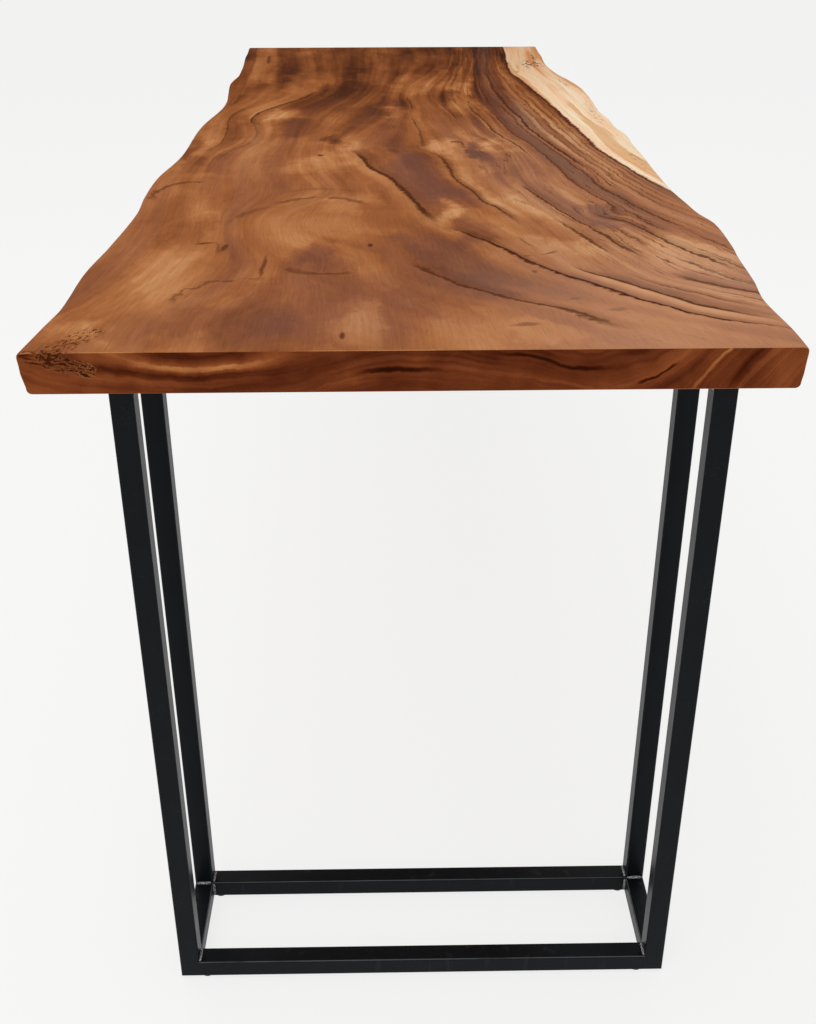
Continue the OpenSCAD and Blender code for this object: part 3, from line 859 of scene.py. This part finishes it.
# The wood is calm inside the great swirl and lively all round it.
great_swirl = (-0.14, -0.92, 0.17, 0.24)
lively = use(grain, cloud, 1.0, 0.0, drawn, *oval(*great_swirl), -0.6, 0.0)[0]
strong = grain.times(grain.scaled(right_side, 0.75, 0.27), lively)
steady = grain.scaled(lively, 0.65, 0.20)
tone = grain.swung(bands, steady, 0.62)
tone = grain.swung(streaks, strong, tone)
tone = grain.swung(mottle, grain.times(lively, 0.52), tone)
tone = grain.swung(fibres, 0.16, tone)
tone = grain.scaled(grain.smooth(along, -0.4, 1.1), -0.22, tone)
heart = grain.scaled(stretched(across, along, 16, 0.7, 2, 21.0), 1.6, -0.75)
core_place, core_reach = 0.745, 0.055
core = grain.smooth(grain.gap(across, core_place), core_reach, 0.0)
core = grain.times(core, grain.smooth(along, -0.7, 0.4))
heart = grain.plus(heart, core)
tone = grain.scaled(core, -0.04, tone)
for *spot, lighter, purpler in clouds:
    tone, heart = use(grain, cloud, tone, heart, feathered, *oval(*spot), lighter, purpler)
jagged = grain.swung(grain.noise(drawn, 95, 2)[0], 0.009, across)
sap_place = 0.838
sap = grain.smooth(jagged, sap_place, sap_place + 0.005)
wobble = grain.noise(spread, 14, 4, 0.6)[0]
wobble = grain.times(grain.minus(wobble, 0.5), 0.016)
jagged = grain.scaled(wobble, grain.smooth(across, 0.55, 0.68), jagged)
for stripe_values in stripes:
    tone, heart = use(grain, stripe, tone, heart, jagged, frayed["Y"], *stripe_values)
# Small knots, most of them the dark eye of a small swirl, and short dark scars.
for marks, outline, lighter in ((knots, drawn, -0.45), (scars, feathered_little, -0.30)):
    for spot in marks:
        tone, heart = use(grain, cloud, tone, heart, outline, *oval(*spot), lighter, 0.1)

dark = 0.0
for vein_values in veins:
    (dark,) = use(grain, vein, dark, jagged, along, rag, *vein_values)
shaken = grain.vectors("ADD", drawn, drift(grain, drawn, 38, 3, 0.5, (0.03, 0.03, 0)))[0]
broken = grain.scaled(grain.smooth(rag, 0.75, 1.15), 1.8, 0.15)
for arc_values in arcs:
    (dark,) = use(grain, arc, dark, shaken, broken, *oval(*arc_values[:4]), *arc_values[4:])
# Between the listed veins run finer dark lines, wherever the wood turns from light to dark:
# many on the right of the board, and a faint few on its left.
turns = stretched(jagged, along, 34, 0.9, 2, 41.0)
level = grain.work("PINGPONG", grain.times(turns, 9.0), 0.5)
line = grain.smooth(level, 0.10, 0.0)
amount = grain.times(grain.smooth(mottle, 0.38, 0.60), grain.scaled(right_side, 0.70, 0.12))
dark = grain.larger(dark, grain.times(line, amount))
tone = grain.scaled(tone, 1.22, -0.112)
colour = ramp(
    grain, tone, (0, (50, 25, 13)), (0.2, (86, 44, 21)), (0.4, (126, 69, 34)),
    (0.6, (160, 95, 51)), (0.8, (188, 124, 74)), (1, (212, 158, 110)),
)
# The heart colour lies over the tone, purple towards the near end and redder towards the far one.
# Over it lies a painted sheen: a pale haze over the near end, strongest to the near right.
heart = grain.work("MINIMUM", heart, 0.85)
far = grain.smooth(along, -0.2, 0.7)
stain = grain.blend("MIX", far, (0.66, 0.58, 0.80, 1), (0.77, 0.66, 0.60, 1))
colour = grain.blend("MULTIPLY", heart, colour, stain)
colour = grain.tint(grain.times(heart, grain.scaled(far, -0.32, 0.36)), colour, 140, 96, 84)
colour = grain.tint(grain.times(core, 0.30), colour, 112, 84, 70)
# The painted sheen, as a pale haze that fades towards the far end.
pale = grain.times(grain.smooth(along, 0.3, -0.6), 0.20, right_side)
near_right = grain.times(grain.smooth(along, -0.95, -1.3), grain.smooth(here["X"], 0.0, 0.28))
pale = grain.scaled(near_right, 0.36, pale)
pale = grain.scaled(grain.smooth(along, 0.8, -0.8), 0.05, pale)
colour = grain.tint(pale, colour, 210, 160, 132)
colour = grain.tint(dark, colour, 80, 41, 23)
speck = grain.smooth(pores, 0.62, 0.70)
colour = grain.blend("MULTIPLY", grain.times(speck, 0.28), colour, (0.45, 0.38, 0.34, 1))
# The sapwood along the far right edge is the colour of cream, with brown bands and stained marks.
sap_tone = grain.tint(grain.smooth(streaks, 0.3, 0.7), shade(254, 208, 168), 255, 240, 208)
sap_bands = grain.smooth(stretched(across, along, 30, 1.1, 2, 83.0), 0.52, 0.59)
sap_tone = grain.blend("MULTIPLY", sap_bands, sap_tone, (0.83, 0.65, 0.50, 1))
sap_stain = grain.times(grain.smooth(stretched(across, along, 95, 2.6, 3, 61.0), 0.50, 0.72), 0.4)
sap_tone = grain.blend("MULTIPLY", sap_stain, sap_tone, (0.84, 0.66, 0.50, 1))
stained = 0.0
for *spot, strength in sap_marks:
    stained = use(grain, cloud, stained, 0.0, feathered_little, *oval(*spot), strength, 0.0)[0]
flecks = grain.smooth(stretched(trunk, along, 150, 30, 2, 71.0), 0.46, 0.60)
sap_tone = grain.tint(grain.times(stained, flecks), sap_tone, 104, 66, 36)
sap_tone = grain.blend("MULTIPLY", grain.times(speck, 0.5), sap_tone, (0.62, 0.48, 0.36, 1))
sap_tone = grain.blend("MULTIPLY", grain.smooth(along, 0.2, 1.2), sap_tone, (0.85, 0.70, 0.60, 1))
colour = grain.blend("MIX", sap, colour, sap_tone)
eaten = grain.put("ShaderNodeAttribute", attribute_name="worm_pits")["Fac"]
colour = grain.tint(grain.smooth(eaten, 0.0, 0.9), colour, 98, 47, 21)
# A highlight is painted in places along the top arris of each sawn end, where its rounding would catch the
# light.
spots = grain.parts(position)
half_length = slab_length / 2
near_end = grain.smooth(grain.work("ABSOLUTE", spots["Y"]), half_length - 0.0018, half_length - 0.0008)
near_top = grain.smooth(spots["Z"], slab_top - 0.0018, slab_top - 0.0008)
painted_arris_highlight = grain.smooth(grain.noise(position, 11, 4)[0], 0.42, 0.6)
painted_arris_highlight = grain.times(painted_arris_highlight, grain.times(near_end, near_top))
colour = grain.tint(grain.times(painted_arris_highlight, 0.65), colour, 206, 142, 88)
# The relief is fine straight fibre only: a scraped and oiled top is flat across its figure.
oiled = {"Specular IOR Level": 0.0005}
rough = grain.scaled(fibres, 0.12, 0.46)
combed = grain.noise(grain.vectors("MULTIPLY", position, (420, 12, 420))[0], 1, 2)[0]
close_finish(grain, colour, rough, combed, 0.25, 0.0004, oiled)

# The sawn ends show the same figure cut across: the growth rings sag under the heart at the left,
# run level in the middle and climb to the right. It is end grain, so it drinks more oil and is
# darker and redder than the top.
heart_place = -0.233
heart_height = 0.0035
ends, cut, position = open_finish("oiled_end_grain")
sway = cut.noise(position, 14, 3)[0]
fine_sway = cut.noise(position, 90, 3)[0]
place = cut.parts(position)
across = place["X"]
under_top = cut.minus(slab_top + heart_height, place["Z"])
right_of_heart = cut.minus(across, heart_place)
sideways = cut.larger(cut.times(right_of_heart, 1 / 3.5), cut.times(right_of_heart, -1 / 4.6))
away = cut.vectors("LENGTH", cut.whole(sideways, under_top, 0))["Value"]
# Past the heart, the height of one ring as it goes over the middle, dips, and climbs to the right.
ring_rise = [
    (-0.5, -0.034), (-0.15, -0.034), (-0.075, -0.009), (0, 0), (0.08, -0.008), (0.15, -0.02),
    (0.21, -0.03), (0.26, -0.022), (0.3, 0), (0.34, 0.045), (0.38, 0.095), (0.45, 0.19), (0.5, 0.26),
]
climb = curve_through(cut, cut.plus(across, 0.5), [(x + 0.5, rise) for x, rise in ring_rise])
level = cut.plus(cut.plus(climb, 0.035), under_top)
past_heart = cut.smooth(across, -0.17, -0.08)
rings = cut.scaled(cut.minus(level, away), past_heart, away)
looser = cut.smooth(across, 0.05, 0.3)
rings = cut.swung(sway, cut.scaled(looser, 0.030, 0.016), rings)
rings = cut.swung(fine_sway, 0.004, rings)


def ringed(fine, length, detail):
    """Noise drawn out along the rings: so many marks a metre through them, and so many along them."""
    through = cut.times(rings, fine)
    return cut.noise(cut.whole(through, cut.times(across, length), place["Y"]), 1, detail)[0]


growth = ringed(60, 2.2, 4)
late_wood = ringed(260, 14, 3)
speckle = cut.noise(position, 850, 2)[0]
patchy = cut.noise(position, 22, 4)[0]
tone = cut.swung(growth, 0.80, 0.52)
tone = cut.swung(late_wood, cut.scaled(looser, -0.16, 0.32), tone)
tone = cut.swung(patchy, 0.55, tone)
tone = cut.swung(speckle, 0.30, tone)
tone = cut.scaled(cut.smooth(across, -0.1, -0.4), 0.12, tone)
tone = cut.scaled(cut.smooth(cut.gap(across, 0.05), 0.24, 0.1), -0.13, tone)
tone = cut.scaled(cut.smooth(across, 0.34, 0.44), 0.12, tone)
ring_marks = [  # ring distance, half width, lighter, from, to, taper
    (0.0250, 0.0085, 0.14, -0.60, -0.09, 0.10),
    (0.0255, 0.0045, 0.26, -0.36, -0.12, 0.10),
    (0.0352, 0.0055, -0.22, -0.42, -0.08, 0.08),
    (0.0100, 0.0110, -0.26, -0.36, -0.12, 0.06),
    (0.0500, 0.0060, -0.14, -0.40, -0.10, 0.08),
    (0.0600, 0.0045, -0.40, -0.07, 0.04, 0.04),
    (0.0480, 0.0040, 0.12, -0.10, 0.12, 0.06),
    (0.0315, 0.0038, -0.36, 0.08, 0.24, 0.05),
    (0.0170, 0.0100, -0.22, 0.22, 0.29, 0.03),
    (0.0565, 0.0030, -0.55, 0.255, 0.305, 0.01),
    (0.1095, 0.0060, 0.40, 0.315, 0.370, 0.01),
    (0.1650, 0.0180, -0.30, 0.355, 0.425, 0.02),
]
for distance, half, lighter, start, stop, taper in ring_marks:
    near = cut.smooth(cut.gap(rings, distance), half, half * 0.2)
    started = cut.smooth(across, start, start + taper)
    unstopped = cut.smooth(across, stop, stop - taper)
    tone = cut.scaled(cut.times(near, started, unstopped), lighter, tone)
colour = ramp(
    cut, tone, (0, (54, 21, 10)), (0.25, (88, 38, 19)), (0.5, (124, 61, 33)),
    (0.75, (160, 88, 48)), (1, (210, 138, 80)),
)
eaten = cut.put("ShaderNodeAttribute", attribute_name="worm_pits")["Fac"]
colour = cut.tint(cut.smooth(eaten, 0.0, 0.9), colour, 84, 36, 15)
close_finish(cut, colour, cut.scaled(speckle, 0.15, 0.48), speckle, 0.3, 0.0004, oiled)

slab = join(board, "live_edge_board", wood)
slab.data.materials.append(ends)
for face in slab.data.polygons:
    if abs(face.normal.y) > 0.9:
        face.material_index = 1
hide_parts("live_edge_slab")


# The leg frames: two at each end of the table, each a ring of 30 mm square steel tube with mitred
# corners, ground flush outside, and short ties between the rings. Satin black powder coat,
# baked on: an even film with a fine orange peel, a little dust, and light scuffs near the floor.
portals, sides = ("outer", "inner"), ("left", "right")
coat, film, position = open_finish("black_powder_coat")
height_up = film.parts(position)["Z"]
peel = film.noise(position, 1400, 1)[0]
patchy = film.noise(position, 14, 4)[0]
dust = film.noise(position, 420, 2)[0]
dust = film.times(film.smooth(dust, 0.6, 0.72), film.smooth(patchy, 0.4, 0.65))
scuffs = film.noise(film.vectors("MULTIPLY", position, (60, 60, 9))[0], 1, 5)[0]
scuffed_up_to = 0.12
scuffs = film.times(film.smooth(scuffs, 0.6, 0.7), film.smooth(height_up, scuffed_up_to, 0.0))
black = film.tint(patchy, shade(13, 17, 20), 19, 23, 26)
black = film.tint(film.times(dust, 0.18), black, 80, 80, 80)
black = film.tint(film.times(scuffs, 0.2), black, 70, 71, 74)
# A highlight is painted on the arrises that look up, where light from above would catch them: there the
# face turns away from all three axes.
facing = film.parts(film.put("ShaderNodeTexCoord")["Normal"])
squarest = film.larger(film.work("ABSOLUTE", facing["X"]), film.work("ABSOLUTE", facing["Y"]))
squarest = film.larger(film.work("ABSOLUTE", facing["Z"]), squarest)
bevelled = film.smooth(squarest, 0.93, 0.8)
upward = film.smooth(facing["Z"], 0.1, 0.5)
painted_arris_highlight = film.times(bevelled, upward, film.smooth(patchy, 0.15, 0.5), 0.65)
black = film.tint(painted_arris_highlight, black, 104, 108, 113)
satin = film.scaled(scuffs, 0.2, film.scaled(patchy, 0.10, 0.30))
close_finish(film, black, satin, peel, 0.3, 0.00012, {"Specular IOR Level": 0.1})


def dress(names, finish):
    """Gives CAD nodes their finish."""
    for name in names:
        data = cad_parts[name].data
        data.materials.clear()
        data.materials.append(finish)


for leg in legs:
    rails = [f"{leg}_{portal}_{rail}_rail" for portal in portals for rail in ("base", "top")]
    posts = [f"{leg}_{portal}_{side}_post" for portal in portals for side in sides]
    ties = [f"{leg}_{side}_{level}_tie" for side in sides for level in ("base", "top")]
    dress(rails + posts + ties, coat)


# The weld beads in the inside corners of each leg. A hand-run bead is a row of overlapping
# puddles, so each is a ripple-ringed rod of which the quarter outside the steel is kept.
# The coat is glossy on them, and pale flecks painted into its colour stand in for glints.
bead_coat = coat.copy()
bead_coat.name = "glossy_coated_weld"
film = Recipe(bead_coat.node_tree)
shader = film.tree.nodes["Principled BSDF"]
position = film.put("ShaderNodeTexCoord")["Object"]
# Painted glints: near-white flecks scattered by a noise.
painted_glint = film.times(film.smooth(film.noise(position, 620, 2)[0], 0.46, 0.56), 0.85)
under = shader.inputs["Base Color"].links[0].from_socket
film.tree.links.new(film.tint(painted_glint, under, 222, 223, 226), shader.inputs["Base Color"])
shader.inputs["Specular IOR Level"].default_value = 0.5
bead_radius = 0.003
bead_length = 0.024
bead_segments = 16
puddle = 0.0016
puddle_swell = 0.14
rings_a_puddle = 4


def run_bead(mesh, length, corner, along, first, second):
    """One bead round a corner line, of which the quarter between two directions stays."""
    bead = bmesh.new()
    bmesh.ops.create_cone(
        bead, cap_ends=True, segments=bead_segments, radius1=bead_radius, radius2=bead_radius,
        depth=length,
    )
    rungs = [e for e in bead.edges if abs(e.verts[0].co.z - e.verts[1].co.z) > length / 2]
    rings = round(length / puddle) * rings_a_puddle
    bmesh.ops.subdivide_edges(bead, edges=rungs, cuts=rings - 1, use_grid_fill=True)
    for vert in bead.verts:
        crest = abs(math.sin(math.pi * (vert.co.z + length / 2) / puddle))
        swell_here = 1 - puddle_swell + puddle_swell * crest
        end = min(1, (length / 2 - abs(vert.co.z)) / bead_radius)
        round_off = math.sqrt(max(0.2, 1 - (1 - end) ** 2))
        vert.co.x *= swell_here * round_off
        vert.co.y *= swell_here * round_off
    for normal in ((1, 0, 0), (0, 1, 0)):
        everything = bead.verts[:] + bead.edges[:] + bead.faces[:]
        bmesh.ops.bisect_plane(
            bead, geom=everything, plane_co=(0, 0, 0), plane_no=normal, clear_inner=True
        )
        bmesh.ops.holes_fill(bead, edges=[e for e in bead.edges if e.is_boundary])
    axes = Matrix((Vector(first), Vector(second), Vector(along))).transposed().to_4x4()
    bmesh.ops.transform(bead, matrix=Matrix.Translation(corner) @ axes, verts=bead.verts)
    bmesh.ops.recalc_face_normals(bead, faces=bead.faces[:])
    piece = settle(bead, "bead")
    mesh.from_mesh(piece)
    bpy.data.meshes.remove(piece)


for leg in legs:
    beads = bmesh.new()
    for side, inward in zip(sides, (1, -1)):
        for portal in portals:
            low_end, high_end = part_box(f"{leg}_{portal}_{side}_post")
            inner_x = high_end.x if inward > 0 else low_end.x
            middle = (low_end + high_end) / 2
            floor_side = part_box(f"{leg}_{portal}_base_rail")[1].z
            slab_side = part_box(f"{leg}_{portal}_top_rail")[0].z
            for level, up in ((floor_side, 1), (slab_side, -1)):
                corner = (inner_x, middle.y, level)
                run_bead(beads, bead_length, corner, (0, 1, 0), (inward, 0, 0), (0, 0, up))
        for rail, up in (("base", 1), ("top", -1)):
            low_end, high_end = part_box(f"{leg}_{side}_{rail}_tie")
            middle = (low_end + high_end) / 2
            inner_x = high_end.x if inward > 0 else low_end.x
            level = high_end.z if up > 0 else low_end.z
            for end, back in ((low_end.y, 1), (high_end.y, -1)):
                run_bead(beads, bead_length, (middle.x, end, level), (1, 0, 0), (0, back, 0), (0, 0, up))
                if rail == "base":
                    corner = (inner_x, end, middle.z)
                    run_bead(beads, bead_length, corner, (0, 0, 1), (0, back, 0), (inward, 0, 0))
        low_end, high_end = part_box(f"{leg}_{side}_mounting_plate")
        middle = (low_end + high_end) / 2
        plate_run = high_end.x - low_end.x - 2 * bead_radius
        for end, back in ((low_end.y, 1), (high_end.y, -1)):
            run_bead(beads, plate_run, (middle.x, end, low_end.z), (1, 0, 0), (0, back, 0), (0, 0, -1))
    for face in beads.faces:
        face.smooth = True
    piece = join(beads, f"{leg}_rippled_beads", bead_coat)
    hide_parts(f"{leg}_weld_beads")


# The mounting plates, in the same powder coat, with the M8 button-head bolts, large washers and
# threaded inserts that hold the slab. These are zinc plated: bright, faintly blue, hazed by handling.
zinc, plating, position = open_finish("zinc_plating")
haze = plating.noise(position, 160, 4)[0]
spangle = plating.noise(position, 900, 2)[0]
bright = plating.tint(haze, shade(196, 199, 205), 222, 222, 216)
close_finish(plating, bright, plating.scaled(haze, 0.3, 0.18), spangle, 0.2, 0.00005, {"Metallic": 1})
for leg in legs:
    dress([f"{leg}_{side}_mounting_plate" for side in sides], coat)
    fixings = ("slab_bolts", "bolt_washers", "slab_inserts", "glide_inserts")
    dress([f"{leg}_{fixing}" for fixing in fixings], zinc)


# The levelling glides: a black nylon foot with a spanner collar and a rim domed to the floor,
# moulded round an M8 stud. The stud's rolled thread is a tooth spun up its axis at the coarse
# pitch and cut square at both ends.
nylon, moulding, position = open_finish("moulded_black_nylon")
flow = moulding.noise(position, 90, 3)[0]
pebble = moulding.put("ShaderNodeTexVoronoi", {"Vector": position, "Scale": 1600})["Distance"]
foot_colour = moulding.tint(flow, shade(30, 30, 31), 46, 45, 45)
dusty_up_to = 0.003
floor_dust = moulding.times(moulding.smooth(moulding.parts(position)["Z"], dusty_up_to, 0.0), 0.4)
foot_colour = moulding.tint(floor_dust, foot_colour, 96, 92, 86)
dull = moulding.scaled(flow, 0.2, 0.5)
close_finish(moulding, foot_colour, dull, pebble, 0.3, 0.0001, {"Specular IOR Level": 0.3})
under_collar = 0.011  # only the foot's rim reaches further out than this
dome = [  # radius, height, and the height of the same ring in the plain foot
    (0.0078, 0.0, 0.0),
    (0.0096, 0.0006, 0.0004),
    (0.0109, 0.0015, 0.0008),
    (0.0118, 0.0030, 0.0030),
]
pitch = 0.00125
thread_depth = 0.00068
crest_start, crest_stop = 0.42 * pitch, 0.58 * pitch
steps_a_turn = 20
same_place = 1e-6
for glide in [f"{leg}_{portal}_{side}_glide" for leg in legs for portal in portals for side in sides]:
    low_end, high_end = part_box(glide + "_stud")
    axis = ((low_end + high_end) / 2).xy
    foot = bmesh.new()
    foot.from_mesh(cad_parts[glide + "_pad"].data)
    bmesh.ops.remove_doubles(foot, verts=foot.verts[:], dist=same_place)
    for vert in foot.verts:
        away = vert.co.xy - axis
        if away.length > under_collar:
            reach, rise = min(dome, key=lambda step: abs(step[2] - vert.co.z))[:2]
            away *= reach / away.length
            vert.co = (axis.x + away.x, axis.y + away.y, rise)
    bmesh.ops.recalc_face_normals(foot, faces=foot.faces[:])
    for face in foot.faces:
        face.smooth = 0.1 < abs(face.normal.z) < 0.97
    piece = join(foot, glide + "_domed_foot", nylon, glide)
    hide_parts(glide + "_pad")

    crest = (high_end.x - low_end.x) / 2
    root = crest - thread_depth
    turns = math.ceil((high_end.z - low_end.z) / pitch) + 2
    stud = bmesh.new()
    outline = ((root, 0), (crest, crest_start), (crest, crest_stop), (root, pitch))
    tooth = [stud.verts.new((out, 0, rise)) for out, rise in outline]
    profile = [stud.edges.new(pair) for pair in zip(tooth, tooth[1:])]
    bmesh.ops.spin(
        stud, geom=tooth + profile, cent=(0, 0, 0), axis=(0, 0, 1), dvec=(0, 0, pitch / steps_a_turn),
        angle=2 * math.pi * turns, steps=steps_a_turn * turns, use_merge=False,
    )
    bmesh.ops.remove_doubles(stud, verts=stud.verts[:], dist=same_place)
    bmesh.ops.translate(stud, verts=stud.verts[:], vec=(axis.x, axis.y, low_end.z - pitch))
    for level, keep_up in ((low_end.z, 1), (high_end.z, -1)):
        bmesh.ops.bisect_plane(
            stud, geom=stud.verts[:] + stud.edges[:] + stud.faces[:], plane_co=(0, 0, level),
            plane_no=(0, 0, keep_up), clear_inner=True,
        )
    bmesh.ops.holes_fill(stud, edges=[e for e in stud.edges if e.is_boundary])
    bmesh.ops.recalc_face_normals(stud, faces=stud.faces[:])
    piece = join(stud, glide + "_threaded_stud", zinc, glide)
    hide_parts(glide + "_stud")


low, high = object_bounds()
